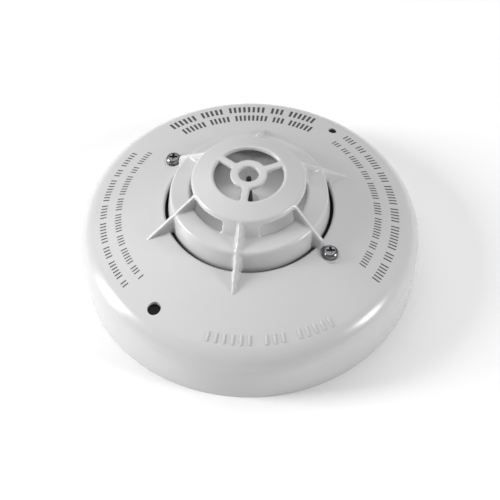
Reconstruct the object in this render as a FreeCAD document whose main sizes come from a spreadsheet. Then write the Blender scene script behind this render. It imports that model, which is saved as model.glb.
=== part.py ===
"""Ceiling heat detector head: a round cover with a six-finned air guard over a thermistor.

Millimetres. The origin is the centre of the rim's flat face and +Z points at the nose, so the
head stands on its rim; on a ceiling it hangs the other way up. Sub-parts are drawn with one
fin along +X and then turned together by fin_angle.
"""
import FreeCAD, Part
import math
import os
import re
import Sketcher

# ---------------------------------------------------------------- driving dimensions
SIZES = (
    # the cover: a domed shell with a shallow conical crown
    ("cover_radius", 50.0),
    ("crown_height", 22.75),
    ("crown_slope", 15.6),
    ("shoulder_radius", 7.15),
    ("cover_wall", 2.0),
    ("opening_radius", 24.28),
    ("collar_width", 4.72),
    ("collar_rise", 1.05),
    ("edge_round", 0.6),
    # the raised ring inside the opening, the drum on it and the open cap on the drum
    ("slot_width", 1.0),
    ("ring_depth", 3.8),
    ("ring_rise", 5.6),
    ("ring_lean", 0.88),
    ("ring_crown", 0.6),
    ("ring_wall", 1.6),
    ("ring_kick", 0.5),
    ("drum_foot_radius", 17.2),
    ("drum_wall", 1.5),
    ("cap_radius", 15.87),
    ("cap_lift", 4.97),
    ("cap_crown", 1.93),
    ("cap_wall", 1.5),
    ("aperture_radius", 9.8),
    ("hub_radius", 5.2),
    ("hub_bore", 2.79),
    ("spoke_width", 2.1),
    ("spoke_sink", 0.15),
    ("spoke_overlap", 0.8),
    ("window_half_angle", 42.0),
    ("window_reach", 2.0),
    # the fins
    ("fin_angle", 21.4),
    ("fin_width", 1.5),
    ("fin_tail", 2.4),
    ("fin_sink", 0.2),
    ("fin_root", 1.4),
    # cover screws and their pillars and inserts
    ("screw_margin", 4.35),
    ("screw_head_radius", 2.25),
    ("screw_head_height", 1.9),
    ("screw_head_round", 1.05),
    ("screw_shank_radius", 1.2),
    ("screw_gap", 0.1),
    ("screw_tip_gap", 0.5),
    ("screw_point", 0.9),
    ("recess_width", 0.75),
    ("recess_reach", 1.25),
    ("recess_depth", 1.1),
    ("spot_gap", 0.5),
    ("tool_reach", 5.0),
    ("spot_sink", 0.15),
    ("pillar_wall", 1.7),
    ("pillar_gap", 0.3),
    ("insert_radius", 2.0),
    ("insert_length", 5.0),
    ("socket_gap", 0.2),
    ("boss_wall", 1.4),
    ("boss_height", 5.5),
    ("post_root", 0.5),
    # indicator lenses
    ("indicator_margin", 8.0),
    ("lens_radius", 1.8),
    ("small_lens_radius", 1.2),
    ("lens_gap", 0.1),
    ("lens_flange_reach", 0.7),
    ("lens_flange_height", 0.8),
    ("lens_flange_gap", 0.15),
    ("lens_depth", 0.7),
    ("diode_radius", 1.5),
    ("diode_foot", 0.2),
    # rear body
    ("body_gap", 0.6),
    ("skirt_inset", 1.4),
    ("skirt_wall", 2.0),
    ("plate_height", 4.5),
    ("plate_wall", 2.0),
    ("lip_height", 2.5),
    ("lip_wall", 1.6),
    ("hub_ring_radius", 20.5),
    ("hub_ring_wall", 2.0),
    ("hub_ring_lift", 0.8),
    ("tab_reach", 2.2),
    ("tab_thickness", 1.6),
    ("tab_half_angle", 9.0),
    # circuit board and its fixings
    ("standoff_height", 3.5),
    ("standoff_wall", 1.8),
    ("standoff_margin", 5.5),
    ("board_wall", 1.6),
    ("board_margin", 3.4),
    ("board_boss_gap", 0.6),
    ("board_screw_radius", 0.8),
    ("board_screw_head", 1.9),
    ("board_screw_head_height", 1.3),
    ("board_screw_slot", 0.5),
    ("board_screw_length", 5.0),
    ("pilot_gap", 0.05),
    ("lead_gap", 0.1),
    # sensor housing, its seal and the thermistor
    ("floor_rise", 0.6),
    ("housing_gap", 1.28),
    ("housing_wall", 1.5),
    ("ledge_reach", 4.7),
    ("ledge_wall", 1.2),
    ("peg_radius", 0.6),
    ("peg_length", 2.4),
    ("seal_gap", 0.4),
    ("seal_fit", 0.05),
    ("seal_height", 2.0),
    ("probe_radius", 1.1),
    ("probe_tip_radius", 0.75),
    ("probe_tip_gap", 1.6),
    ("probe_tail", 3.0),
    ("probe_collar", 0.4),
    ("probe_nose", 2.4),
    ("grommet_wall", 1.2),
    ("grommet_lip", 0.8),
    ("thermistor_lead_radius", 0.22),
    ("thermistor_lead_pitch", 0.6),
    # contacts
    ("contact_place", 30.0),
    ("blade_length", 14.0),
    ("blade_width", 6.0),
    ("blade_wall", 0.8),
    ("blade_tab", 1.8),
    ("rivet_shank_radius", 1.25),
    ("rivet_head_radius", 2.0),
    ("rivet_head_height", 0.7),
    ("pin_radius", 0.5),
    ("pin_stub", 0.8),
    # parts on the board and the label
    ("can_radius", 3.1),
    ("can_step", 5.0),
    ("can_headroom", 0.8),
    ("can_base_height", 0.6),
    ("can_base_width", 6.6),
    ("suppressor_radius", 2.2),
    ("suppressor_height", 2.2),
    ("package_place", 33.0),
    ("package_lift", 0.2),
    ("package_width", 3.9),
    ("leg_length", 1.4),
    ("leg_width", 0.45),
    ("leg_height", 0.5),
    ("chip_place", 29.5),
    ("label_length", 22.0),
    ("label_width", 8.0),
    ("label_place", 33.0),
    ("label_wall", 0.2),
)

doc = FreeCAD.newDocument("HeatDetector")
sheet = doc.addObject("Spreadsheet::Sheet", "Sizes")
for row, (alias, number) in enumerate(SIZES, start=1):
    sheet.set("A%d" % row, alias.replace("_", " "))
    sheet.set("B%d" % row, str(number))
    sheet.setAlias("B%d" % row, alias)
doc.recompute()

ALIASES = {alias for alias, number in SIZES}

# Heights and radii that follow from the driving dimensions, each written once.
WORKED = {
    "collar_radius": "opening_radius + collar_width",
    "crown_at_rim": "crown_height - (cover_radius - collar_radius) * tan(crown_slope)",
    "opening_height": "crown_height + collar_rise",
    "ring_foot_radius": "opening_radius - slot_width",
    "ring_bottom": "opening_height - ring_depth",
    "ring_radius": "ring_foot_radius - ring_lean",
    "ring_edge_height": "opening_height + ring_rise",
    "ring_crown_height": "ring_edge_height + ring_crown",
    "cap_edge_height": "ring_crown_height + cap_lift",
    "cap_top_height": "cap_edge_height + cap_crown",
    "fin_end": "collar_radius + fin_tail",
    "fin_end_height": "crown_height - fin_tail * tan(crown_slope)",
    "screw_place": "opening_radius + screw_margin",
    "screw_bore_radius": "screw_shank_radius + screw_gap",
    "spot_radius": "screw_head_radius + spot_gap",
    "pillar_radius": "screw_bore_radius + pillar_wall",
    "boss_radius": "insert_radius + boss_wall",
    "seat_height": "crown_height - spot_sink",
    "body_radius": "cover_radius - cover_wall - body_gap",
    "skirt_radius": "body_radius - skirt_inset",
    "plate_top": "plate_height + plate_wall",
    "board_height": "plate_top + standoff_height",
    "board_top": "board_height + board_wall",
    "board_radius": "body_radius - board_margin",
    "standoff_radius": "board_screw_radius + standoff_wall",
    "standoff_place": "board_radius - standoff_margin",
    "boss_top": "plate_top + boss_height",
    "insert_bottom": "boss_top - insert_length",
    "screw_tip": "insert_bottom + screw_tip_gap",
    "indicator_place": "cover_radius - indicator_margin",
    "indicator_surface": "crown_height - (indicator_place - collar_radius) * tan(crown_slope)",
    "lens_top": "indicator_surface - lens_depth",
    "lens_flange_drop": "(lens_radius + lens_flange_reach) * tan(crown_slope)",
    "lens_flange_top": "indicator_surface - cover_wall - lens_flange_drop - lens_flange_gap",
    "lens_bottom": "lens_flange_top - lens_flange_height",
    "housing_radius": "ring_foot_radius - ring_wall - housing_gap",
    "grommet_radius": "probe_radius + grommet_wall",
    "floor_height": "opening_height + floor_rise",
    "seal_top": "ring_bottom - seal_gap",
    "ledge_top": "seal_top - seal_height",
    "probe_tip_height": "cap_top_height - probe_tip_gap",
    "probe_bottom": "floor_height - probe_tail",
    "rivet_bottom": "plate_height - blade_wall - rivet_head_height",
    "rivet_top": "plate_top + rivet_head_height",
    "peg_place": "housing_radius - housing_wall / 2",
    "can_place": "indicator_place - can_step",
}


def bound(text):
    """Write out a formula: worked-out names are opened up and aliases get the sheet's name."""
    def word(match):
        name = match.group(0)
        if name in WORKED:
            return "(" + bound(WORKED[name]) + ")"
        return "Sizes." + name if name in ALIASES else name
    return re.sub(r"[a-z_]+", word, text)


def value(text):
    """The number that a formula gives now."""
    return float(sheet.evalExpression(bound(text)))


def bind(piece, settings):
    """Tie an object's properties to formulas."""
    for path, text in settings.items():
        piece.setExpression(path, bound(text))


# ---------------------------------------------------------------- sketches and bodies
XY = "XY_Plane"
XZ = "XZ_Plane"


def new_body(name):
    return doc.addObject("PartDesign::Body", name)


def new_sketch(body, name, plane, height="0"):
    """An empty sketch on one of the body's own planes, raised along the plane's normal."""
    sketch = body.newObject("Sketcher::SketchObject", name)
    planes = [item for item in body.Origin.OriginFeatures if item.Role == plane]
    sketch.AttachmentSupport = [(planes[0], "")]
    sketch.MapMode = "FlatFace"
    bind(sketch, {"AttachmentOffset.Base.z": height})
    return sketch


def fix_value(sketch, kind, references, text):
    """Add a dimension to a sketch and tie it to its formula."""
    index = sketch.addConstraint(Sketcher.Constraint(kind, *references, value(text)))
    sketch.setExpression("Constraints[%d]" % index, bound(text))


def add_circle(sketch, radius, across="0", up="0"):
    centre = FreeCAD.Vector(value(across), value(up), 0)
    circle = sketch.addGeometry(Part.Circle(centre, FreeCAD.Vector(0, 0, 1), value(radius)), False)
    fix_value(sketch, "Radius", (circle,), radius)
    fix_value(sketch, "DistanceX", (-1, 1, circle, 3), across)
    fix_value(sketch, "DistanceY", (-1, 1, circle, 3), up)


def rounded_corner(before, corner, after, radius):
    """Where a round of this radius leaves and meets a corner's two edges, and its centre."""
    first = (before - corner).normalize()
    second = (after - corner).normalize()
    half_turn = first.getAngle(second) / 2
    reach = radius / math.tan(half_turn)
    middle = (first + second).normalize()
    centre = corner + middle * (radius / math.sin(half_turn))
    return corner + first * reach, corner + second * reach, centre


def add_outline(sketch, points):
    """A closed outline. A point is (across, up), or (across, up, round) for a rounded corner."""
    places = [FreeCAD.Vector(value(point[0]), value(point[1]), 0) for point in points]
    count = len(points)
    starts = []
    ends = []
    rounds = {}
    for index, point in enumerate(points):
        if len(point) == 3:
            before = FreeCAD.Vector(places[index - 1])
            after = FreeCAD.Vector(places[(index + 1) % count])
            corner = FreeCAD.Vector(places[index])
            leave, meet, centre = rounded_corner(before, corner, after, value(point[2]))
            rounds[index] = (leave, meet, centre)
        else:
            leave = meet = places[index]
        ends.append(leave)
        starts.append(meet)
    lines = []
    for index in range(count):
        following = (index + 1) % count
        edge = Part.LineSegment(starts[index], ends[following])
        lines.append(sketch.addGeometry(edge, False))
    for index, point in enumerate(points):
        incoming = lines[index - 1]
        outgoing = lines[index]
        if index not in rounds:
            sketch.addConstraint(Sketcher.Constraint("Coincident", incoming, 2, outgoing, 1))
            fix_value(sketch, "DistanceX", (-1, 1, outgoing, 1), point[0])
            fix_value(sketch, "DistanceY", (-1, 1, outgoing, 1), point[1])
            continue
        leave, meet, centre = rounds[index]
        start_angle = math.atan2(leave.y - centre.y, leave.x - centre.x)
        end_angle = math.atan2(meet.y - centre.y, meet.x - centre.x)
        turn = (leave - centre).cross(meet - centre).z
        forward = turn > 0
        if not forward:
            start_angle, end_angle = end_angle, start_angle
        circle = Part.Circle(centre, FreeCAD.Vector(0, 0, 1), value(point[2]))
        arc = sketch.addGeometry(Part.ArcOfCircle(circle, start_angle, end_angle), False)
        apex = sketch.addGeometry(Part.Point(places[index]), True)
        fix_value(sketch, "DistanceX", (-1, 1, apex, 1), point[0])
        fix_value(sketch, "DistanceY", (-1, 1, apex, 1), point[1])
        first_end = 1 if forward else 2
        sketch.addConstraint(Sketcher.Constraint("Tangent", incoming, 2, arc, first_end))
        sketch.addConstraint(Sketcher.Constraint("Tangent", arc, 3 - first_end, outgoing, 1))
        sketch.addConstraint(Sketcher.Constraint("PointOnObject", apex, 1, incoming))
        sketch.addConstraint(Sketcher.Constraint("PointOnObject", apex, 1, outgoing))
        fix_value(sketch, "Radius", (arc,), point[2])


def add_feature(body, kind, name, sketch, length):
    """Raise or sink a sketch by a length."""
    feature = body.newObject("PartDesign::" + kind, name)
    feature.Profile = sketch
    bind(feature, {"Length": length})
    return feature


def revolve(body, name, points):
    """Turn an outline, given as (radius, height), about the body's vertical axis."""
    sketch = new_sketch(body, name + "_outline", XZ)
    add_outline(sketch, points)
    feature = body.newObject("PartDesign::Revolution", name)
    feature.Profile = sketch
    feature.ReferenceAxis = (sketch, ["V_Axis"])
    feature.Angle = 360
    return feature


def around(body, name, feature, count):
    """Repeat a feature evenly about the body's vertical axis."""
    pattern = body.newObject("PartDesign::PolarPattern", name)
    pattern.Originals = [feature]
    axes = [item for item in body.Origin.OriginFeatures if item.Role == "Z_Axis"]
    pattern.Axis = (axes[0], [""])
    pattern.Angle = 360
    pattern.Occurrences = count
    body.Tip = pattern
    return pattern


def round_sketch(body, name, height, circles):
    """Circles of (radius, distance from the axis, angle) on a level plane."""
    sketch = new_sketch(body, name, XY, height)
    for radius, place, angle in circles:
        across = "(%s) * cos(%s)" % (place, angle)
        up = "(%s) * sin(%s)" % (place, angle)
        add_circle(sketch, radius, across, up)
    return sketch


def drill(body, name, height, depth, circles):
    """Sink round holes downwards from a height, and make sure that they remove material."""
    doc.recompute()
    solid_before = body.Shape.Volume
    sketch = round_sketch(body, name + "_circles", height, circles)
    feature = add_feature(body, "Pocket", name, sketch, depth)
    doc.recompute()
    if feature.Shape.isNull() or feature.Shape.Volume > solid_before - 1e-3:
        raise RuntimeError("%s removes nothing" % name)
    return feature


def raise_posts(body, name, height, length, circles):
    """Stand round posts on a height."""
    sketch = round_sketch(body, name + "_circles", height, circles)
    return add_feature(body, "Pad", name, sketch, length)


# ---------------------------------------------------------------- plain pieces
def cylinder(name, radius, bottom, top, across="0"):
    piece = doc.addObject("Part::Cylinder", name)
    bind(piece, {"Radius": radius, "Height": "(%s) - (%s)" % (top, bottom),
                 "Placement.Base.x": across, "Placement.Base.z": bottom})
    return piece


def block(name, length, width, bottom, top, across="0", aside="0"):
    """A box of length along X and width along Y, centred on (across, aside)."""
    piece = doc.addObject("Part::Box", name)
    bind(piece, {"Length": length, "Width": width, "Height": "(%s) - (%s)" % (top, bottom),
                 "Placement.Base.x": "(%s) - (%s) / 2" % (across, length),
                 "Placement.Base.y": "(%s) - (%s) / 2" % (aside, width),
                 "Placement.Base.z": bottom})
    return piece


def joined(name, pieces):
    piece = doc.addObject("Part::MultiFuse", name)
    piece.Shapes = pieces
    return piece


def hollowed(name, base, tool):
    piece = doc.addObject("Part::Cut", name)
    piece.Base = base
    piece.Tool = tool
    return piece


def turned(piece, angle):
    """Turn a finished piece about the head's axis."""
    upright = FreeCAD.Rotation(FreeCAD.Vector(0, 0, 1), 1)
    piece.Placement = FreeCAD.Placement(FreeCAD.Vector(), upright)
    bind(piece, {"Placement.Rotation.Angle": angle})
    return piece


def placed(name, piece, angle):
    """A compound that holds one piece at its own angle about the head's axis."""
    holder = doc.addObject("Part::Compound", name)
    holder.Links = [piece]
    return turned(holder, angle)


NODES = []


def node(piece, label):
    """Name a finished sub-part, which also names its file."""
    piece.Label = label
    NODES.append(piece)


def group_node(label, pieces):
    holder = doc.addObject("Part::Compound", label + "_set")
    holder.Links = pieces
    node(holder, label)


SCREW_ANGLES = ("120", "300")
INDICATORS = (("30", "small_lens_radius"), ("210", "lens_radius"))
STANDOFF_ANGLES = ("75", "195", "315")
CONTACT_ANGLES = ("75", "165", "255", "345")
PEG_ANGLES = ("0", "120", "240")
TAB_COUNT = 3
FIN_COUNT = 6
SPOKE_COUNT = 3


# ---------------------------------------------------------------- cover
def build_cover():
    """One moulding: dome, ring, windowed drum, spoked cap and the six fins that bridge the slot."""
    body = new_body("CoverBody")
    revolve(body, "Guard", (
        ("aperture_radius", "cap_top_height", "edge_round"),
        ("cap_radius", "cap_edge_height", "edge_round"),
        ("drum_foot_radius", "ring_crown_height", "edge_round * 2"),
        ("ring_radius", "ring_edge_height", "edge_round * 1.5"),
        ("ring_foot_radius", "opening_height - ring_kick"),
        ("ring_foot_radius", "ring_bottom"),
        ("ring_foot_radius - ring_wall", "ring_bottom"),
        ("ring_foot_radius - ring_wall", "opening_height"),
        ("ring_radius - ring_wall", "ring_edge_height - ring_wall"),
        ("drum_foot_radius - drum_wall", "ring_crown_height - ring_wall"),
        ("cap_radius - drum_wall", "cap_edge_height - cap_wall"),
        ("aperture_radius", "cap_top_height - cap_wall"),
    ))

    # three wide windows in the drum, each crossed by a fin
    inner = "drum_foot_radius - drum_wall - window_reach"
    outer = "(drum_foot_radius + window_reach) / cos(window_half_angle)"
    window = new_sketch(body, "Window_outline", XY, "cap_edge_height - cap_wall")
    add_outline(window, (
        ("(%s) * cos(60 - window_half_angle)" % inner, "(%s) * sin(60 - window_half_angle)" % inner),
        ("(%s) * cos(60 - window_half_angle)" % outer, "(%s) * sin(60 - window_half_angle)" % outer),
        ("(%s) * cos(60 + window_half_angle)" % outer, "(%s) * sin(60 + window_half_angle)" % outer),
        ("(%s) * cos(60 + window_half_angle)" % inner, "(%s) * sin(60 + window_half_angle)" % inner),
    ))
    opening = add_feature(body, "Pocket", "Window", window, "cap_lift - cap_wall")
    around(body, "Windows", opening, SPOKE_COUNT)

    # fins: a straight ridge from the cap's edge down to the crown, bridging the slot
    fin_sketch = new_sketch(body, "Fin_outline", XZ)
    add_outline(fin_sketch, (
        ("cap_radius - drum_wall / 2", "cap_edge_height - fin_sink * 2"),
        ("cap_radius", "cap_edge_height - fin_sink"),
        ("fin_end", "fin_end_height - fin_sink / 4"),
        ("fin_end", "fin_end_height - cover_wall / 2"),
        ("opening_radius + fin_sink * 3", "opening_height - fin_root"),
        ("ring_foot_radius - ring_wall / 2", "opening_height - fin_root"),
        ("ring_radius - ring_wall / 2", "ring_edge_height - ring_wall / 2"),
        ("drum_foot_radius - drum_wall / 2", "ring_crown_height - ring_wall / 2"),
    ))
    fin = add_feature(body, "Pad", "Fin", fin_sketch, "fin_width")
    fin.SideType = "Symmetric"
    around(body, "Fins", fin, FIN_COUNT)

    # the dome, with its shoulder and the soft collar that leads up to the opening
    revolve(body, "Dome", (
        ("cover_radius", "0"),
        ("cover_radius", "crown_at_rim", "shoulder_radius"),
        ("collar_radius", "crown_height", "collar_width"),
        ("opening_radius", "opening_height", "edge_round"),
        ("opening_radius", "opening_height - cover_wall"),
        ("collar_radius", "crown_height - cover_wall"),
        ("cover_radius - cover_wall", "crown_at_rim + cover_wall * tan(crown_slope) - cover_wall",
         "shoulder_radius - cover_wall"),
        ("cover_radius - cover_wall", "0"),
    ))

    # hub and three spokes across the cap's opening, level with its top
    hub = new_sketch(body, "Hub_circles", XY, "cap_top_height - spoke_sink")
    add_circle(hub, "hub_radius")
    add_circle(hub, "hub_bore")
    hub_disc = add_feature(body, "Pad", "Hub", hub, "cap_wall - spoke_sink")
    hub_disc.Reversed = True
    spoke_sketch = new_sketch(body, "Spoke_outline", XY, "cap_top_height - spoke_sink")
    add_outline(spoke_sketch, (
        ("hub_radius - spoke_overlap", "-spoke_width / 2"),
        ("aperture_radius + spoke_overlap / 2", "-spoke_width / 2"),
        ("aperture_radius + spoke_overlap / 2", "spoke_width / 2"),
        ("hub_radius - spoke_overlap", "spoke_width / 2"),
    ))
    spoke = add_feature(body, "Pad", "Spoke", spoke_sketch, "cap_wall - spoke_sink")
    spoke.Reversed = True
    around(body, "Spokes", spoke, SPOKE_COUNT)

    # screw pillars under the dome, then their seats and bores, then the indicator holes
    pillars = [("pillar_radius", "screw_place", angle) for angle in SCREW_ANGLES]
    raise_posts(body, "Pillars", "boss_top + pillar_gap", "seat_height - boss_top - pillar_gap", pillars)
    seats = [("spot_radius", "screw_place", angle) for angle in SCREW_ANGLES]
    drill(body, "Seats", "seat_height + tool_reach", "tool_reach", seats)
    bores = [("screw_bore_radius", "screw_place", angle) for angle in SCREW_ANGLES]
    drill(body, "Screw_bores", "seat_height", "seat_height - boss_top", bores)
    eyes = [(radius + " + lens_gap", "indicator_place", angle) for angle, radius in INDICATORS]
    drill(body, "Indicator_holes", "indicator_surface + cover_wall", "cover_wall * 3", eyes)
    node(turned(body, "fin_angle"), "outer_cover")


# ---------------------------------------------------------------- rear body
def build_rear_body():
    """The moulded back: plate, locating skirt, centring lip, bayonet ring and bosses."""
    body = new_body("RearBody")
    revolve(body, "Back", (
        ("0", "plate_height"),
        ("hub_ring_radius - hub_ring_wall", "plate_height"),
        ("hub_ring_radius - hub_ring_wall", "hub_ring_lift"),
        ("hub_ring_radius", "hub_ring_lift"),
        ("hub_ring_radius", "plate_height"),
        ("skirt_radius - skirt_wall", "plate_height"),
        ("skirt_radius - skirt_wall", "0"),
        ("skirt_radius", "0"),
        ("skirt_radius", "plate_height"),
        ("body_radius", "plate_height"),
        ("body_radius", "plate_top + lip_height"),
        ("body_radius - lip_wall", "plate_top + lip_height"),
        ("body_radius - lip_wall", "plate_top"),
        ("0", "plate_top"),
    ))
    bosses = [("boss_radius", "screw_place", angle) for angle in SCREW_ANGLES]
    raise_posts(body, "Bosses", "plate_top - post_root", "boss_top - plate_top + post_root", bosses)
    standoffs = [("standoff_radius", "standoff_place", angle) for angle in STANDOFF_ANGLES]
    raise_posts(body, "Standoffs", "plate_top - post_root", "standoff_height + post_root", standoffs)

    # bayonet tabs on the outside of the small ring
    inner = "hub_ring_radius - hub_ring_wall / 2"
    outer = "(hub_ring_radius + tab_reach)"
    tab_sketch = new_sketch(body, "Tab_outline", XY, "hub_ring_lift")
    add_outline(tab_sketch, (
        ("(%s) * cos(tab_half_angle)" % inner, "-(%s) * sin(tab_half_angle)" % inner),
        ("%s * cos(tab_half_angle)" % outer, "-%s * sin(tab_half_angle)" % outer),
        ("%s * cos(tab_half_angle)" % outer, "%s * sin(tab_half_angle)" % outer),
        ("(%s) * cos(tab_half_angle)" % inner, "(%s) * sin(tab_half_angle)" % inner),
    ))
    tab = add_feature(body, "Pad", "Tab", tab_sketch, "tab_thickness")
    around(body, "Tabs", tab, TAB_COUNT)

    sockets = [("insert_radius", "screw_place", angle) for angle in SCREW_ANGLES]
    drill(body, "Insert_sockets", "boss_top", "insert_length + socket_gap", sockets)
    pilots = [("board_screw_radius + pilot_gap", "standoff_place", angle) for angle in STANDOFF_ANGLES]
    drill(body, "Pilot_holes", "board_height", "board_screw_length - board_wall + socket_gap", pilots)
    rivets = [("rivet_shank_radius", "contact_place", angle) for angle in CONTACT_ANGLES]
    drill(body, "Rivet_holes", "plate_top", "plate_wall", rivets)
    node(turned(body, "fin_angle"), "rear_body")


# ---------------------------------------------------------------- circuit board
def build_board():
    """Round glass-epoxy board, with holes for bosses, screws, pins, pegs and the thermistor."""
    body = new_body("BoardBody")
    sketch = new_sketch(body, "Board_circle", XY, "board_height")
    add_circle(sketch, "board_radius")
    add_feature(body, "Pad", "Board", sketch, "board_wall")
    holes = [("boss_radius + board_boss_gap", "screw_place", angle) for angle in SCREW_ANGLES]
    holes += [("board_screw_radius + lead_gap", "standoff_place", angle) for angle in STANDOFF_ANGLES]
    holes += [("pin_radius + lead_gap", "contact_place", angle) for angle in CONTACT_ANGLES]
    holes += [("peg_radius + lead_gap", "peg_place", angle) for angle in PEG_ANGLES]
    holes += [("thermistor_lead_radius + lead_gap", "thermistor_lead_pitch", angle) for angle in ("0", "180")]
    drill(body, "Board_holes", "board_top", "board_wall", holes)
    node(turned(body, "fin_angle"), "circuit_board")


# ---------------------------------------------------------------- sensor housing
def build_housing():
    """White cup whose floor closes the sensing chamber and whose ledge carries the seal."""
    body = new_body("HousingBody")
    revolve(body, "Cup", (
        ("grommet_radius", "floor_height"),
        ("housing_radius", "floor_height", "edge_round"),
        ("housing_radius", "ledge_top"),
        ("housing_radius + ledge_reach", "ledge_top"),
        ("housing_radius + ledge_reach", "ledge_top - ledge_wall"),
        ("housing_radius", "ledge_top - ledge_wall"),
        ("housing_radius", "board_top"),
        ("housing_radius - housing_wall", "board_top"),
        ("housing_radius - housing_wall", "floor_height - housing_wall"),
        ("grommet_radius", "floor_height - housing_wall"),
    ))
    pegs = [("peg_radius", "peg_place", angle) for angle in PEG_ANGLES]
    raise_posts(body, "Pegs", "board_top - peg_length", "peg_length + post_root", pegs)
    node(turned(body, "fin_angle"), "sensor_housing")

    # black rubber seal on the ledge, under the annular slot
    seal = new_body("SealBody")
    revolve(seal, "Seal", (
        ("housing_radius + seal_fit", "ledge_top"),
        ("housing_radius + ledge_reach", "ledge_top"),
        ("housing_radius + ledge_reach", "seal_top", "seal_height / 4"),
        ("housing_radius + seal_fit", "seal_top", "seal_height / 4"),
    ))
    node(seal, "seal_ring")


# ---------------------------------------------------------------- thermistor
def build_thermistor():
    """Slender resin-coated bead on two leads, held in a rubber grommet in the chamber floor."""
    probe = new_body("ProbeBody")
    revolve(probe, "Probe", (
        ("0", "probe_bottom"),
        ("probe_radius", "probe_bottom"),
        ("probe_radius", "floor_height + grommet_lip + probe_collar"),
        ("probe_tip_radius", "probe_tip_height - probe_nose"),
        ("probe_tip_radius", "probe_tip_height", "probe_tip_radius * 0.95"),
        ("0", "probe_tip_height"),
    ))
    node(probe, "thermistor")

    grommet = new_body("GrommetBody")
    revolve(grommet, "Grommet", (
        ("probe_radius", "floor_height - housing_wall - grommet_lip"),
        ("grommet_radius + grommet_lip", "floor_height - housing_wall - grommet_lip"),
        ("grommet_radius + grommet_lip", "floor_height - housing_wall"),
        ("grommet_radius", "floor_height - housing_wall"),
        ("grommet_radius", "floor_height"),
        ("grommet_radius + grommet_lip", "floor_height"),
        ("grommet_radius + grommet_lip", "floor_height + grommet_lip", "grommet_lip / 2"),
        ("probe_radius", "floor_height + grommet_lip"),
    ))
    node(grommet, "thermistor_grommet")

    leads = []
    for index, angle in enumerate(("fin_angle", "fin_angle + 180")):
        lead = cylinder("Thermistor_lead_%d" % index, "thermistor_lead_radius",
                        "board_height - pin_stub", "probe_bottom", "thermistor_lead_pitch")
        leads.append(placed("Thermistor_lead_turned_%d" % index, lead, angle))
    group_node("thermistor_leads", leads)


# ---------------------------------------------------------------- contacts
def build_contacts():
    """Four riveted brass blades under the plate, with a pin from each rivet up to the board."""
    blades = []
    rivets = []
    pins = []
    for index, angle in enumerate(CONTACT_ANGLES):
        turn = "fin_angle + " + angle
        blade_bottom = "plate_height - blade_wall"
        strip = block("Blade_strip_%d" % index, "blade_width", "blade_length", blade_bottom, "plate_height",
                      "contact_place")
        tab = block("Blade_tab_%d" % index, "blade_width", "blade_wall", blade_bottom + " - blade_tab",
                    blade_bottom, "contact_place", "(blade_length - blade_wall) / 2")
        hole = cylinder("Blade_hole_%d" % index, "rivet_shank_radius", blade_bottom, "plate_height",
                        "contact_place")
        blade = hollowed("Blade_%d" % index, joined("Blade_blank_%d" % index, [strip, tab]), hole)
        blades.append(placed("Blade_turned_%d" % index, blade, turn))

        head = cylinder("Rivet_head_%d" % index, "rivet_head_radius", "rivet_bottom", blade_bottom,
                        "contact_place")
        shank = cylinder("Rivet_shank_%d" % index, "rivet_shank_radius", "rivet_bottom", "rivet_top",
                         "contact_place")
        flange = cylinder("Rivet_flange_%d" % index, "rivet_head_radius", "plate_top", "rivet_top",
                          "contact_place")
        rivet = joined("Rivet_%d" % index, [head, shank, flange])
        rivets.append(placed("Rivet_turned_%d" % index, rivet, turn))

        pin = cylinder("Pin_%d" % index, "pin_radius", "rivet_top", "board_top + pin_stub", "contact_place")
        pins.append(placed("Pin_turned_%d" % index, pin, turn))
    group_node("contact_blades", blades)
    group_node("contact_rivets", rivets)
    group_node("contact_pins", pins)


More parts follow.
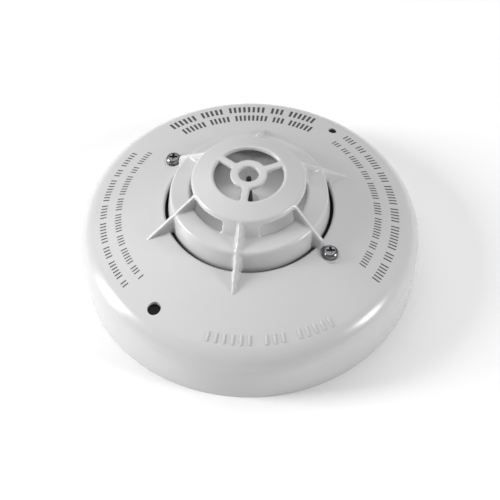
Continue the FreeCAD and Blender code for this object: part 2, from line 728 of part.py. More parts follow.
# ---------------------------------------------------------------- screws and inserts
def build_screws():
    """Two cross-recess pan-head screws, the brass inserts they enter, and three board screws."""
    for label, angle in (("cover_screw_left", "120"), ("cover_screw_right", "300")):
        body = new_body(label + "_body")
        revolve(body, label + "_turned", (
            ("0", "screw_tip"),
            ("screw_shank_radius - screw_point / 2", "screw_tip"),
            ("screw_shank_radius", "screw_tip + screw_point"),
            ("screw_shank_radius", "seat_height"),
            ("screw_head_radius", "seat_height"),
            ("screw_head_radius", "seat_height + screw_head_height", "screw_head_round"),
            ("0", "seat_height + screw_head_height"),
        ))
        sketch = new_sketch(body, label + "_recess_outline", XY, "seat_height + screw_head_height")
        arm = "recess_reach"
        half = "recess_width / 2"
        add_outline(sketch, (
            (arm, "-" + half), (arm, half), (half, half), (half, arm), ("-" + half, arm), ("-" + half, half),
            ("-" + arm, half), ("-" + arm, "-" + half), ("-" + half, "-" + half), ("-" + half, "-" + arm),
            (half, "-" + arm), (half, "-" + half),
        ))
        add_feature(body, "Pocket", label + "_recess", sketch, "recess_depth")
        bind(body, {"Placement.Base.x": "screw_place * cos(fin_angle + %s)" % angle,
                    "Placement.Base.y": "screw_place * sin(fin_angle + %s)" % angle})
        node(body, label)

    inserts = []
    for index, angle in enumerate(SCREW_ANGLES):
        sleeve = cylinder("Insert_sleeve_%d" % index, "insert_radius", "insert_bottom", "boss_top",
                          "screw_place")
        bore = cylinder("Insert_bore_%d" % index, "screw_bore_radius", "insert_bottom", "boss_top",
                        "screw_place")
        insert = hollowed("Insert_%d" % index, sleeve, bore)
        inserts.append(placed("Insert_turned_%d" % index, insert, "fin_angle + " + angle))
    group_node("screw_inserts", inserts)

    screws = []
    for index, angle in enumerate(STANDOFF_ANGLES):
        head = cylinder("Board_screw_head_%d" % index, "board_screw_head", "board_top",
                        "board_top + board_screw_head_height", "standoff_place")
        shank = cylinder("Board_screw_shank_%d" % index, "board_screw_radius",
                         "board_top - board_screw_length", "board_top + board_screw_head_height / 2",
                         "standoff_place")
        slot = block("Board_screw_slot_%d" % index, "board_screw_head * 3", "board_screw_slot",
                     "board_top + board_screw_head_height / 2", "board_top + board_screw_head_height",
                     "standoff_place")
        blank = joined("Board_screw_blank_%d" % index, [head, shank])
        screw = hollowed("Board_screw_%d" % index, blank, slot)
        screws.append(placed("Board_screw_turned_%d" % index, screw, "fin_angle + " + angle))
    group_node("board_screws", screws)


# ---------------------------------------------------------------- indicators
def build_indicators():
    """A light-emitting diode on the board under each hole, with a dark lens that fills the hole."""
    diodes = []
    lenses = []
    for index, (angle, radius) in enumerate(INDICATORS):
        turn = "fin_angle + " + angle
        foot = cylinder("Diode_foot_%d" % index, "diode_radius + diode_foot", "board_top",
                        "board_top + (lens_bottom - board_top) / 4", "indicator_place")
        bulb = cylinder("Diode_bulb_%d" % index, "diode_radius", "board_top", "lens_bottom",
                        "indicator_place")
        diode = joined("Diode_%d" % index, [foot, bulb])
        diodes.append(placed("Diode_turned_%d" % index, diode, turn))
        flange = cylinder("Lens_flange_%d" % index, radius + " + lens_flange_reach", "lens_bottom",
                          "lens_flange_top", "indicator_place")
        rod = cylinder("Lens_rod_%d" % index, radius, "lens_bottom", "lens_top", "indicator_place")
        lens = joined("Lens_%d" % index, [flange, rod])
        lenses.append(placed("Lens_turned_%d" % index, lens, turn))
    group_node("indicator_diodes", diodes)
    group_node("indicator_lenses", lenses)


# ---------------------------------------------------------------- electronic parts
def leaded_chip(name, length, height, legs):
    """A moulded package with a row of legs along each long side, as one solid."""
    pieces = [block(name + "_package", "package_width", length, "board_top + package_lift",
                    "board_top + " + height, "package_place")]
    for side in (-1, 1):
        for index in range(legs):
            spot = "(%s) * %.4f" % (length, (index + 0.5) / legs - 0.5)
            pieces.append(block("%s_leg_%d_%d" % (name, side, index), "leg_length", "leg_width",
                                "board_top", "board_top + leg_height",
                                "package_place + %d * package_width / 2" % side, spot))
    return joined(name, pieces)


# Small parts as width, length and height, and the angles that they stand at.
SMALL_PARTS = (
    ("resistors", ("1.6", "3.2", "0.55"), (138, 146, 154, 225, 233, 241)),
    ("ceramic_capacitors", ("1.25", "2.0", "1.2"), (200, 207, 264, 270)),
    ("transistors", ("1.3", "2.9", "1.1"), (277, 284)),
)


def build_electronics():
    """The parts soldered to the board's upper face, outside the sensor housing."""
    chip = leaded_chip("Controller", "9.9", "1.75", 8)
    node(placed("Controller_turned", chip, "fin_angle + 180"), "controller_chip")
    bridge = leaded_chip("Bridge", "4.8", "2.4", 2)
    node(placed("Bridge_turned", bridge, "fin_angle + 90"), "bridge_rectifier")

    base = block("Can_base", "can_base_width", "can_base_width", "board_top",
                 "board_top + can_base_height", "can_place")
    can_top = "crown_height - (can_place + can_radius - collar_radius) * tan(crown_slope) - cover_wall"
    can = cylinder("Can_sleeve", "can_radius", "board_top", can_top + " - can_headroom", "can_place")
    node(placed("Can_turned", joined("Can", [base, can]), "fin_angle"), "electrolytic_capacitor")

    disc = cylinder("Suppressor_disc", "suppressor_radius", "board_top",
                    "board_top + suppressor_height", "package_place")
    node(placed("Suppressor_turned", disc, "fin_angle + 60"), "surge_suppressor")

    for label, size, spots in SMALL_PARTS:
        width, length, height = size
        pieces = []
        for index, spot in enumerate(spots):
            part = block("%s_part_%d" % (label, index), width, length, "board_top",
                         "board_top + " + height, "chip_place")
            pieces.append(placed("%s_turned_%d" % (label, index), part, "fin_angle + %d" % spot))
        group_node(label, pieces)


def build_label():
    """Blank film stuck to the plate between two contact blades."""
    film = block("Label_film", "label_width", "label_length", "plate_height - label_wall", "plate_height",
                 "label_place")
    node(placed("Label_turned", film, "fin_angle + 30"), "rear_label")


build_cover()
build_rear_body()
build_board()
build_housing()
build_thermistor()
build_contacts()
build_screws()
build_indicators()
build_electronics()
build_label()
doc.recompute()

# ---------------------------------------------------------------- checks and files
for item in doc.Objects:
    if "Invalid" in item.State or "Error" in item.State:
        raise RuntimeError("%s (%s) failed: %s" % (item.Name, item.Label, item.State))
for piece in NODES:
    if piece.Shape.isNull() or not piece.Shape.isValid():
        raise RuntimeError("%s has no valid shape" % piece.Label)
for piece in NODES:
    if piece.isDerivedFrom("PartDesign::Body") and len(piece.Shape.Solids) != 1:
        raise RuntimeError("%s is %d solids" % (piece.Label, len(piece.Shape.Solids)))

os.makedirs("parts", exist_ok=True)
for piece in NODES:
    piece.Shape.exportStep("parts/%s.step" % piece.Label)
    print("%-24s %2d solids %10.1f mm3" % (piece.Label, len(piece.Shape.Solids), piece.Shape.Volume))
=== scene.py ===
import bpy
import math
from mathutils import Matrix, Vector


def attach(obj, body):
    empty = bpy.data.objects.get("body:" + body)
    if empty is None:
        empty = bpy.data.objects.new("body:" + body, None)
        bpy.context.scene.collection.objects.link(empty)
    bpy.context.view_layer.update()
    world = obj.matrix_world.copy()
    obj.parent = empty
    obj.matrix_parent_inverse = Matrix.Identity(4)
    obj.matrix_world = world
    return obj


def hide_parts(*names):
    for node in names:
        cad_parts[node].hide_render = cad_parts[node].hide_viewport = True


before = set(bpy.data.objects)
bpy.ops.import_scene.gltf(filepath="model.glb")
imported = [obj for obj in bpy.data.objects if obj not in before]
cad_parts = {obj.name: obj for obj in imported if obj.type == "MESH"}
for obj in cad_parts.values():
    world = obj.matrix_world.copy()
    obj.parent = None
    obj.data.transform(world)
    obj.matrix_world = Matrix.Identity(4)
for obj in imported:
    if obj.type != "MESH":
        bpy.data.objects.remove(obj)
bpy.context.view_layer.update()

# ---------------------------------------------------------------- camera, floor and light
# The head stands on its rim on a sheet of pale paper, seen from the front at 53 degrees above
# the horizon. One wide softbox hangs over it, one stands at each side, and the room fills in.
MM = 0.001
CAMERA_PLACE = (0.08, -184.39, 245.03)
ELEVATION = 52.87
ROLL = -0.74
LENS = 71.98
SENSOR = 36
FLOOR_SIZE = 6
FLOOR_DROP = 0.05
ROOM_STRENGTH = 0.28
AIM_HEIGHT = 20

camera_data = bpy.data.cameras.new("camera")
camera_data.lens = LENS
camera_data.sensor_width = SENSOR
camera_data.clip_start = 0.01
camera = bpy.data.objects.new("camera", camera_data)
bpy.context.scene.collection.objects.link(camera)
camera.matrix_world = (Matrix.Translation(Vector(CAMERA_PLACE) * MM)
                       @ Matrix.Rotation(math.radians(90 - ELEVATION), 4, "X")
                       @ Matrix.Rotation(math.radians(ROLL), 4, "Z"))
bpy.context.scene.camera = camera


def linear(hex_code):
    """A colour given as sRGB hex, as the linear values that a shader takes."""
    parts = [int(hex_code[i:i + 2], 16) / 255 for i in (1, 3, 5)]
    return [p / 12.92 if p <= 0.04045 else ((p + 0.055) / 1.055) ** 2.4 for p in parts] + [1.0]


def add_node(tree, kind, settings=(), links=()):
    """Add a node. Settings are attributes or input values, links are (input, node, output)."""
    made = tree.nodes.new(kind)
    for name, value in dict(settings).items():
        if isinstance(name, int) or name in made.inputs:
            made.inputs[name].default_value = value
        else:
            setattr(made, name, value)
    for name, source, output in links:
        tree.links.new(source.outputs[output], made.inputs[name])
    return made


def new_material(name):
    """An empty material and its node tree."""
    material = bpy.data.materials.new(name)
    material.use_nodes = True
    material.node_tree.nodes.clear()
    return material, material.node_tree


def surface(tree, settings, links=()):
    """The shader that ends a material."""
    shader = add_node(tree, "ShaderNodeBsdfPrincipled", settings, links)
    add_node(tree, "ShaderNodeOutputMaterial", (), (("Surface", shader, "BSDF"),))


def soft_grain(name, dark, light, blotch_mm, grain_mm, grain_depth_mm, rough_low, rough_high, settings):
    """A solid finish: a broad drift between two close tones, and a fine grain in bump and gloss."""
    material, tree = new_material(name)
    place = add_node(tree, "ShaderNodeTexCoord")
    blotch = add_node(tree, "ShaderNodeTexNoise", {"Scale": 1 / (blotch_mm * MM), "Detail": 2.0},
                      (("Vector", place, "Object"),))
    tone = add_node(tree, "ShaderNodeMix", {"data_type": "RGBA", 6: linear(dark), 7: linear(light)},
                    ((0, blotch, "Fac"),))
    grain = add_node(tree, "ShaderNodeTexNoise", {"Scale": 1 / (grain_mm * MM), "Detail": 3.0},
                     (("Vector", place, "Object"),))
    rough = add_node(tree, "ShaderNodeMapRange", {"To Min": rough_low, "To Max": rough_high},
                     (("Value", grain, "Fac"),))
    bump = add_node(tree, "ShaderNodeBump", {"Strength": 1.0, "Distance": grain_depth_mm * MM},
                    (("Height", grain, "Fac"),))
    surface(tree, settings, (("Base Color", tone, 2), ("Roughness", rough, "Result"),
                             ("Normal", bump, "Normal")))
    return material


# Backdrop paper, white and matt: a faint mottle and no shine.
paper = soft_grain("backdrop_paper", "#f8f8f8", "#fbfbfb", 60, 2, 0.01, 0.85, 0.95,
                   {"Specular IOR Level": 0.2})
bpy.ops.object.select_all(action="DESELECT")
bpy.ops.mesh.primitive_plane_add(size=FLOOR_SIZE, location=(0, 0, -FLOOR_DROP * MM))
floor = bpy.context.active_object
floor.name = "floor"
floor.data.materials.append(paper)

world = bpy.data.worlds.new("room")
world.use_nodes = True
background = world.node_tree.nodes["Background"]
background.inputs["Color"].default_value = (1, 1, 1, 1)
background.inputs["Strength"].default_value = ROOM_STRENGTH
bpy.context.scene.world = world
bpy.context.scene.view_settings.view_transform = "Standard"

# name, place in metres, width, height, watts
SOFTBOXES = (
    ("top_softbox", (-0.15, 0.50, 1.15), 1.60, 1.40, 6.9),
    ("left_softbox", (-0.70, -0.02, 0.30), 0.22, 0.45, 5.8),
    ("right_softbox", (0.62, -0.20, 0.34), 0.16, 0.20, 2.4),
)
for name, spot, width, height, watts in SOFTBOXES:
    lamp_data = bpy.data.lights.new(name, "AREA")
    lamp_data.shape = "RECTANGLE"
    lamp_data.size = width
    lamp_data.size_y = height
    lamp_data.energy = watts
    lamp = bpy.data.objects.new(name, lamp_data)
    bpy.context.scene.collection.objects.link(lamp)
    lamp.location = spot
    aim = Vector((0, 0, AIM_HEIGHT * MM)) - Vector(spot)
    lamp.rotation_euler = aim.to_track_quat("-Z", "Y").to_euler()
    lamp.visible_camera = False


# ---------------------------------------------------------------- rear body and its inserts
# The back that meets the base: one moulding of the same fire-retardant plastic as the cover,
# left with a fine spark-eroded texture, with two brass inserts pressed in for the cover screws.
def finish(name, material):
    """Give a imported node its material."""
    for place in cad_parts[name].material_slots:
        place.material = material


# Moulded ABS, textured: pale, even and nearly matt.
textured_abs = soft_grain("textured_abs", "#dcdcda", "#e3e3e1", 25, 0.35, 0.012, 0.42, 0.55,
                          {"IOR": 1.53})
finish("rear_body", textured_abs)

# Turned brass: warm yellow with a fine lathe grain.
turned_brass = soft_grain("turned_brass", "#b08d4a", "#cfae6a", 3, 0.2, 0.006, 0.25, 0.38,
                          {"Metallic": 1.0})
finish("screw_inserts", turned_brass)

# ---------------------------------------------------------------- contacts
# Four stiff blades that reach the base's springs, each held by one hollow rivet, with a pin up
# to the board. All are tin-plated brass.
tinned_brass = soft_grain("tinned_brass", "#b9b4a3", "#cdc9ba", 4, 0.25, 0.004, 0.22, 0.36,
                          {"Metallic": 1.0})
for name in ("contact_blades", "contact_rivets"):
    finish(name, tinned_brass)

# Tinned copper wire: bright, slightly uneven solder skin.
tinned_copper = soft_grain("tinned_copper", "#b4b4b4", "#d2d2d0", 1.5, 0.3, 0.01, 0.18, 0.34,
                           {"Metallic": 1.0})
for name in ("contact_pins", "thermistor_leads"):
    finish(name, tinned_copper)

# ---------------------------------------------------------------- circuit board
# Round glass-epoxy board, drilled and solder-masked, screwed to the rear body at three places.
# The mask is green, with the copper tracks showing through as lighter lines.
TRACK_PITCH = 2.54


def solder_mask():
    """Green mask over copper tracks on the usual grid of a tenth of an inch."""
    material, tree = new_material("solder_mask")
    place = add_node(tree, "ShaderNodeTexCoord")
    tracks = add_node(tree, "ShaderNodeTexBrick",
                      {"Scale": 1 / (TRACK_PITCH * MM), "Color1": (0, 0, 0, 1), "Color2": (0, 0, 0, 1),
                       "Mortar": (1, 1, 1, 1), "Mortar Size": 0.09, "Mortar Smooth": 0.15,
                       "Brick Width": 3.0, "Row Height": 1.0}, (("Vector", place, "Object"),))
    patch = add_node(tree, "ShaderNodeTexNoise", {"Scale": 1 / (11 * MM), "Detail": 0.0},
                     (("Vector", place, "Object"),))
    kept = add_node(tree, "ShaderNodeMath", {"operation": "GREATER_THAN", 1: 0.47},
                    ((0, patch, "Fac"),))
    lines = add_node(tree, "ShaderNodeMath", {"operation": "MULTIPLY"},
                     ((0, tracks, "Color"), (1, kept, "Value")))
    tone = add_node(tree, "ShaderNodeMix", {"data_type": "RGBA", 6: linear("#0d4a26"),
                                            7: linear("#2b7a45")}, ((0, lines, "Value"),))
    bump = add_node(tree, "ShaderNodeBump", {"Strength": 0.8, "Distance": 0.035 * MM},
                    (("Height", lines, "Value"),))
    rough = add_node(tree, "ShaderNodeMapRange", {"To Min": 0.2, "To Max": 0.34},
                     (("Value", patch, "Fac"),))
    surface(tree, {"IOR": 1.52}, (("Base Color", tone, 2), ("Roughness", rough, "Result"),
                                  ("Normal", bump, "Normal")))
    return material


finish("circuit_board", solder_mask())

# Zinc-plated steel: bright, faintly brushed by handling.
plated_steel = soft_grain("plated_steel", "#a9aaab", "#d6d7d8", 2, 0.18, 0.006, 0.16, 0.32,
                          {"Metallic": 1.0})
finish("board_screws", plated_steel)

# ---------------------------------------------------------------- parts on the board
# Controller, bridge rectifier, capacitor, surge suppressor and small chip parts, all soldered
# flat to the board's upper face outside the sensor housing.
moulded_epoxy = soft_grain("moulded_epoxy", "#1b1b1d", "#252527", 4, 0.12, 0.01, 0.5, 0.66,
                           {"IOR": 1.55})
for name in ("controller_chip", "bridge_rectifier", "transistors"):
    finish(name, moulded_epoxy)

drawn_aluminium = soft_grain("drawn_aluminium", "#b8b9bb", "#cfd0d2", 3, 0.2, 0.004, 0.24, 0.34,
                             {"Metallic": 1.0})
finish("electrolytic_capacitor", drawn_aluminium)

dipped_coat = soft_grain("dipped_coat", "#20447c", "#2c5694", 2.5, 0.6, 0.03, 0.3, 0.45,
                         {"IOR": 1.5})
finish("surge_suppressor", dipped_coat)

fired_ceramic = soft_grain("fired_ceramic", "#4a3f35", "#6a5a48", 1.5, 0.15, 0.006, 0.35, 0.5,
                           {"IOR": 1.6})
for name in ("resistors", "ceramic_capacitors"):
    finish(name, fired_ceramic)

# ---------------------------------------------------------------- indicators
# Two diodes on the board shine up through dark tinted lenses, which fill the small holes in
# the cover and look black until they light.
tinted_resin = soft_grain("tinted_resin", "#7a1512", "#8f1d18", 2, 0.5, 0.002, 0.08, 0.14,
                          {"IOR": 1.5, "Transmission Weight": 0.35})
finish("indicator_diodes", tinted_resin)

dark_lens = soft_grain("dark_polycarbonate", "#050304", "#080506", 2, 0.5, 0.002, 0.3, 0.4,
                       {"IOR": 1.58, "Specular IOR Level": 0.15})
finish("indicator_lenses", dark_lens)

# ---------------------------------------------------------------- sensor housing and seal
# A cup of the cover's plastic closes the sensing chamber from below. A black rubber ring lies on its
# ledge, under the slot in the cover, and paints the slot black: a dark ring standing in for its deep
# shade.
# Moulded ABS, the cover's plastic, painted paler than the cover so that the shaded chamber inside comes
# out lighter: painted light.
painted_light_abs = soft_grain("painted_light_abs", "#ececec", "#f0f0f0", 30, 0.5, 0.004, 0.4, 0.5, {"IOR": 1.53})
finish("sensor_housing", painted_light_abs)

# Black matt rubber laid under the slot as painted shade for the slot's deep shadow.
slot_shade_rubber = soft_grain("slot_shadow_rubber", "#08080a", "#101012", 5, 0.2, 0.02, 0.6, 0.8,
                          {"IOR": 1.5})
finish("seal_ring", slot_shade_rubber)

# ---------------------------------------------------------------- thermistor and grommet
# A bead thermistor dipped in black resin stands in the chamber's floor, held by a pale silicone
# grommet, with its two tinned leads going down to the board.
dipped_resin = soft_grain("dipped_resin", "#0b0b0c", "#161617", 1.5, 0.3, 0.01, 0.25, 0.4,
                          {"IOR": 1.55})
finish("thermistor", dipped_resin)

silicone = soft_grain("silicone_rubber", "#c9c9c6", "#d2d2cf", 4, 0.2, 0.01, 0.5, 0.62,
                      {"IOR": 1.43})
finish("thermistor_grommet", silicone)

# ---------------------------------------------------------------- cover dome
# The domed shell of the cover: polished ABS, drawn in one moulding with the guard below, with
# sunk seats for its two screws, pillars beneath them and two small holes for the indicators.
ROUND_STEP = 6
DOME_STEPS = 288
SLOPE = math.tan(math.radians(15.6))
FIN_ANGLE = 21.4


def rounded(points):
    """An outline of (across, up, round) corners in millimetres, with its rounds drawn out."""
    path = []
    for index, (across, up, radius) in enumerate(points):
        corner = Vector((across, up))
        if not radius:
            path.append(corner)
            continue
        before = (Vector(points[index - 1][:2]) - corner).normalized()
        after = (Vector(points[(index + 1) % len(points)][:2]) - corner).normalized()
        half = before.angle(after) / 2
        centre = corner + (before + after).normalized() * (radius / math.sin(half))
        leave = corner + before * (radius / math.tan(half)) - centre
        meet = corner + after * (radius / math.tan(half)) - centre
        start = math.atan2(leave.y, leave.x)
        turn = (math.atan2(meet.y, meet.x) - start + math.pi) % (2 * math.pi) - math.pi
        steps = max(2, round(math.degrees(abs(turn)) / ROUND_STEP))
        for step in range(steps + 1):
            angle = start + turn * step / steps
            path.append(centre + Vector((math.cos(angle), math.sin(angle))) * radius)
    return path


def drawn_outline(name, points):
    """A closed line in the plane through the axis, drawn corner by corner from one point."""
    path = [Vector((p.x, 0, p.y)) * MM for p in rounded(points)]
    bpy.ops.object.select_all(action="DESELECT")
    bpy.ops.mesh.primitive_plane_add(size=MM, location=path[0])
    piece = bpy.context.active_object
    piece.name = name
    bpy.ops.object.transform_apply(location=True)
    bpy.ops.object.mode_set(mode="EDIT")
    bpy.ops.mesh.merge(type="CENTER")
    for before, after in zip(path, path[1:] + path[:1]):
        bpy.ops.mesh.extrude_region_move(TRANSFORM_OT_translate={"value": after - before})
    bpy.ops.mesh.select_all(action="SELECT")
    bpy.ops.mesh.remove_doubles(threshold=0.001 * MM)
    return piece


def close_up():
    """Merge doubles, fill open ends, turn the faces outwards and leave edit mode."""
    bpy.ops.mesh.select_all(action="SELECT")
    bpy.ops.mesh.remove_doubles(threshold=0.001 * MM)
    bpy.ops.mesh.fill_holes(sides=0)
    bpy.ops.mesh.normals_make_consistent(inside=False)
    bpy.ops.object.mode_set(mode="OBJECT")


def turned(name, points, steps, start=0.0, sweep=360.0):
    """A closed outline turned about the head's axis, all the way or through a part of it."""
    piece = drawn_outline(name, points)
    bpy.ops.mesh.spin(steps=steps, angle=math.radians(sweep), center=(0, 0, 0), axis=(0, 0, 1))
    close_up()
    piece.rotation_euler.z = math.radians(start)
    bpy.ops.object.transform_apply(rotation=True)
    return piece


def apply_modifier(piece, kind, settings):
    """Add a modifier to a piece and apply it."""
    bpy.ops.object.select_all(action="DESELECT")
    piece.select_set(True)
    bpy.context.view_layer.objects.active = piece
    modifier = piece.modifiers.new(kind.lower(), kind)
    for name, value in settings.items():
        setattr(modifier, name, value)
    bpy.ops.object.modifier_apply(modifier=modifier.name)


def cut_or_join(piece, tool, operation):
    """Boolean with another piece, which is used up."""
    apply_modifier(piece, "BOOLEAN", {"object": tool, "operation": operation, "solver": "EXACT"})
    bpy.data.objects.remove(tool)


def gathered(name, pieces):
    """Several pieces joined into one object."""
    bpy.ops.object.select_all(action="DESELECT")
    for piece in pieces:
        piece.select_set(True)
    bpy.context.view_layer.objects.active = pieces[0]
    bpy.ops.object.join()
    pieces[0].name = name
    return pieces[0]


def post(radius, place, angle, bottom, top):
    """A round bar standing at a distance from the axis and an angle about it."""
    turn = math.radians(FIN_ANGLE + angle)
    bpy.ops.object.select_all(action="DESELECT")
    bpy.ops.mesh.primitive_cylinder_add(
        vertices=64, radius=radius * MM, depth=(top - bottom) * MM,
        location=Vector((place * math.cos(turn), place * math.sin(turn), (bottom + top) / 2)) * MM)
    bpy.ops.object.transform_apply(location=True)
    return bpy.context.active_object


COVER_RADIUS = 50.0
CROWN_HEIGHT = 22.75
COLLAR_RADIUS = 29.0
OPENING_RADIUS = 24.28
WALL = 2.0
SHOULDER = 7.15
CROWN_AT_RIM = CROWN_HEIGHT - (COVER_RADIUS - COLLAR_RADIUS) * SLOPE
SCREW_SPOTS = (120, 300)
SCREW_PLACE = 28.63
SCREW_SEAT = 22.6
SEAT_RADIUS = 2.75
SEAT_TOOL_TOP = 26.0
PILLAR_RADIUS = 3.0
PILLAR_FOOT = 12.3
SHANK_HOLE = 1.3
SHANK_TOOL = (11.0, 23.0)
# angle and radius of each indicator hole
LENS_HOLES = ((30, 1.3), (210, 1.9))
LENS_PLACE = 42.0
LENS_TOOL = (15.0, 23.0)

# Moulded ABS, polished tool: pale and glossy.
polished_abs = soft_grain("polished_abs", "#c3c3c3", "#c7c7c7", 30, 0.5, 0.0025, 0.2, 0.27,
                          {"IOR": 1.53})

dome = turned("cover_dome", (
    (COVER_RADIUS, 0.0, 0),
    (COVER_RADIUS, CROWN_AT_RIM, SHOULDER),
    (COLLAR_RADIUS, CROWN_HEIGHT, 4.72),
    (OPENING_RADIUS, 23.8, 0.6),
    (OPENING_RADIUS, 21.8, 0),
    (COLLAR_RADIUS, CROWN_HEIGHT - WALL, 0),
    (COVER_RADIUS - WALL, CROWN_AT_RIM + WALL * SLOPE - WALL, SHOULDER - WALL),
    (COVER_RADIUS - WALL, 0.0, 0),
), DOME_STEPS)
for spot in SCREW_SPOTS:
    pillar = post(PILLAR_RADIUS, SCREW_PLACE, spot, PILLAR_FOOT, SCREW_SEAT)
    cut_or_join(dome, pillar, "UNION")
    seat = post(SEAT_RADIUS, SCREW_PLACE, spot, SCREW_SEAT, SEAT_TOOL_TOP)
    cut_or_join(dome, seat, "DIFFERENCE")
    cut_or_join(dome, post(SHANK_HOLE, SCREW_PLACE, spot, *SHANK_TOOL), "DIFFERENCE")
for spot, radius in LENS_HOLES:
    cut_or_join(dome, post(radius, LENS_PLACE, spot, *LENS_TOOL), "DIFFERENCE")
bpy.ops.object.shade_smooth_by_angle(angle=math.radians(30))
dome.data.materials.append(polished_abs)
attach(dome, "cover")
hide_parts("outer_cover")

# ---------------------------------------------------------------- guard
# The ring inside the slot, the drum with its three windows, the open cap with hub and spokes and
# the six fins that carry them all from the dome. They are moulded with the dome, with soft edges
# and small fillets where walls meet.
GRAIN = 0.3
SOFTENING = {"factor": 0.5, "iterations": 6}
RING_STEPS = 180
HUB_STEPS = 96
POST_STEPS = 12
POST_SPREAD = 36
SPOKE_WIDTH = 2.1
FIN_RIDGE = 1.1
FIN_FOOT = 2.0
FLARE_FOOT = 4.6
FLARE_RIDGE = 0.23
HEAD_SPACE = 2.8
HEAD_TOOL = (20.0, 30.0)

CAP = ((9.8, 36.9, 0.6), (15.87, 34.97, 0.5), (16.27, 33.47, 0), (14.37, 33.47, 0), (9.8, 35.4, 0))
RING = ((16.8, 29.9, 0), (22.4, 29.4, 0.9), (23.28, 23.3, 0), (23.28, 20.0, 0),
        (21.68, 20.0, 0), (21.68, 23.8, 0), (20.8, 27.8, 0), (16.3, 28.3, 0))
HUB = ((2.79, 36.75, 0), (5.2, 36.75, 0), (5.2, 35.4, 0), (2.79, 35.4, 0))
DRUM_POST = ((14.35, 33.7, 0), (16.2, 33.7, 0), (17.6, 28.8, 0), (15.7, 28.8, 0))
SPOKE = ((4.4, 36.75, 0), (10.2, 36.75, 0), (10.2, 35.4, 0), (4.4, 35.4, 0))
FIN = ((15.12, 34.5, 0), (15.87, 34.77, 0), (31.4, 22.03, 0), (31.4, 21.4, 0),
       (24.88, 22.4, 0), (22.48, 22.4, 0), (21.6, 28.6, 0), (16.45, 29.2, 0))
FLARE = ((24.6, 25.2, 0), (31.2, 21.9, 0), (24.6, 22.9, 0))

parts = [turned("cap", CAP, RING_STEPS), turned("ring", RING, RING_STEPS),
         turned("hub", HUB, HUB_STEPS)]
for turn in (0, 120, 240):
    parts.append(turned("drum_post", DRUM_POST, POST_STEPS, FIN_ANGLE + turn + POST_SPREAD / 2,
                        POST_SPREAD))


def pick(piece, test):
    """Select the vertices whose place in millimetres passes a test, and stay in edit mode."""
    bpy.ops.mesh.select_all(action="DESELECT")
    bpy.ops.object.mode_set(mode="OBJECT")
    for vertex in piece.data.vertices:
        vertex.select = test(vertex.co / MM)
    bpy.ops.object.mode_set(mode="EDIT")


def flat_bar(name, points, width, turn, narrow=lambda place: False, share=1.0):
    """A plate standing on the plane through the axis. Where a test says so, it is made narrower."""
    piece = drawn_outline(name, points)
    bpy.ops.mesh.edge_face_add()
    bpy.ops.transform.translate(value=(0, -width * MM / 2, 0))
    bpy.ops.mesh.extrude_region_move(TRANSFORM_OT_translate={"value": (0, width * MM, 0)})
    pick(piece, narrow)
    bpy.ops.transform.resize(value=(1, share, 1), center_override=(0, 0, 0))
    close_up()
    piece.rotation_euler.z = math.radians(turn)
    bpy.ops.object.transform_apply(rotation=True)
    return piece


def fin_ridge(place):
    """The fin's upper corners: at the cap's edge and at the tail."""
    return place.z > 34 or place.z > 22 and place.x > 31


def flare_ridge(place):
    """The flare's corners other than its foot at the slot."""
    return place.z > 25 or place.x > 31


for turn in (0, 120, 240):
    parts.append(flat_bar("spoke", SPOKE, SPOKE_WIDTH, FIN_ANGLE + turn))
for spot in range(0, 360, 60):
    turn = FIN_ANGLE + spot
    plates = [flat_bar("fin", FIN, FIN_FOOT, turn, fin_ridge, FIN_RIDGE / FIN_FOOT),
              flat_bar("fin_flare", FLARE, FLARE_FOOT, turn, flare_ridge, FLARE_RIDGE / FLARE_FOOT)]
    if spot in SCREW_SPOTS:
        for plate in plates:
            cut_or_join(plate, post(HEAD_SPACE, SCREW_PLACE, spot, *HEAD_TOOL), "DIFFERENCE")
    parts += plates
guard = gathered("cover_guard", parts)
apply_modifier(guard, "REMESH", {"mode": "VOXEL", "voxel_size": GRAIN * MM})
apply_modifier(guard, "SMOOTH", SOFTENING)
bpy.ops.object.shade_smooth()
guard.data.materials.append(polished_abs)
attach(guard, "cover")
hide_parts("outer_cover")

# ---------------------------------------------------------------- printed bars
# Rows of plain bars, set in words, where such heads carry their printed lines: a thin film of
# dark ink laid on the crown. A few raised bars of the cover's own plastic stand at the front.
BAR_STEPS = 720
WORDS = (6, 3, 8, 5, 7, 4)
INK_FILM = 0.06
RAISED_BARS = 0.5
BAR_BEVEL = 0.12

# inner and outer radius, first and last angle, then steps from bar to bar and across a bar
PRINTED_ROWS = (
    (41.0, 44.2, 61, 125.5, 4, 2),
    (36.0, 39.1, 59, 122.5, 4, 2),
    (41.6, 43.4, 145, 217, 3, 1),
    (37.1, 38.9, 142, 218, 3, 1),
    (41.2, 43.6, -35, 45.5, 3, 1),
    (36.3, 38.3, -33, 45.5, 3, 1),
)
RAISED_ROW = (41.9, 44.7, -106, -60, 6, 2)


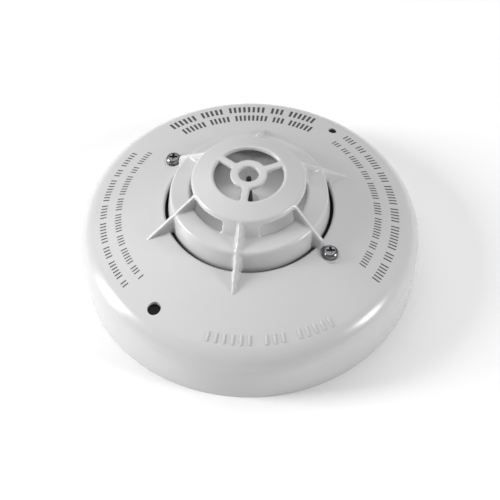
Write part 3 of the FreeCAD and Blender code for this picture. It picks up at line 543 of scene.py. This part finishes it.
def bars_on_crown(name, row, thickness):
    """A row of bars around the axis, lying on the crown's cone, half sunk in it."""
    inner, outer, first, last, pitch, width = row
    step, end = (round(angle * BAR_STEPS / 360) for angle in (first, last))
    kept = set()
    word = 0
    while step < end:
        for _ in range(WORDS[word % len(WORDS)]):
            if step + width <= end:
                kept.update(k % BAR_STEPS for k in range(step, step + width))
            step += pitch
        step += pitch
        word += 1
    bpy.ops.object.select_all(action="DESELECT")
    bpy.ops.mesh.primitive_circle_add(
        vertices=BAR_STEPS, radius=inner * MM,
        location=(0, 0, (CROWN_HEIGHT - (inner - COLLAR_RADIUS) * SLOPE) * MM))
    piece = bpy.context.active_object
    piece.name = name
    bpy.ops.object.transform_apply(location=True)
    bpy.ops.object.mode_set(mode="EDIT")
    bpy.ops.mesh.select_all(action="SELECT")
    bpy.ops.mesh.extrude_region_move(
        TRANSFORM_OT_translate={"value": (0, 0, -(outer - inner) * SLOPE * MM)})
    bpy.ops.transform.resize(value=(outer / inner, outer / inner, 1), center_override=(0, 0, 0))
    bpy.ops.mesh.select_mode(type="FACE")
    bpy.ops.mesh.select_all(action="DESELECT")
    bpy.ops.object.mode_set(mode="OBJECT")
    for face in piece.data.polygons:
        angle = math.degrees(math.atan2(face.center.y, face.center.x))
        face.select = math.floor(angle * BAR_STEPS / 360) % BAR_STEPS not in kept
    bpy.ops.object.mode_set(mode="EDIT")
    bpy.ops.mesh.delete(type="FACE")
    bpy.ops.mesh.select_mode(type="VERT")
    bpy.ops.mesh.select_all(action="SELECT")
    bpy.ops.mesh.normals_make_consistent(inside=False)
    bpy.ops.object.mode_set(mode="OBJECT")
    apply_modifier(piece, "SOLIDIFY", {"thickness": thickness * MM, "offset": 0.0})
    return piece


# Pad-printing ink: dark grey, thin and matt.
printing_ink = soft_grain("printing_ink", "#3e3e40", "#4a4a4c", 3, 0.15, 0.003, 0.45, 0.6,
                          {"IOR": 1.5})
printed = gathered("printed_bars", [bars_on_crown("row", row, INK_FILM) for row in PRINTED_ROWS])
printed.data.materials.append(printing_ink)
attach(printed, "cover")

raised = bars_on_crown("raised_bars", RAISED_ROW, RAISED_BARS)
apply_modifier(raised, "BEVEL",
               {"width": BAR_BEVEL * MM, "segments": 2, "limit_method": "ANGLE"})
bpy.ops.object.shade_smooth_by_angle(angle=math.radians(40))
raised.data.materials.append(polished_abs)
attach(raised, "cover")

# ---------------------------------------------------------------- cover screws
# Two pan-head machine screws with a cross recess hold the cover on; nickel-plated steel.
nickel_plate = soft_grain("nickel_plate", "#6f7072", "#9c9d9f", 1.5, 0.18, 0.008, 0.12, 0.3,
                          {"Metallic": 1.0})
for name in ("cover_screw_left", "cover_screw_right"):
    finish(name, nickel_plate)

# ---------------------------------------------------------------- label
# A blank film label stuck on the back between two blades, satin and a little off white.
label_film = soft_grain("polyester_film", "#dcdcdc", "#e2e2e2", 6, 0.3, 0.003, 0.4, 0.5,
                        {"IOR": 1.5})
finish("rear_label", label_film)
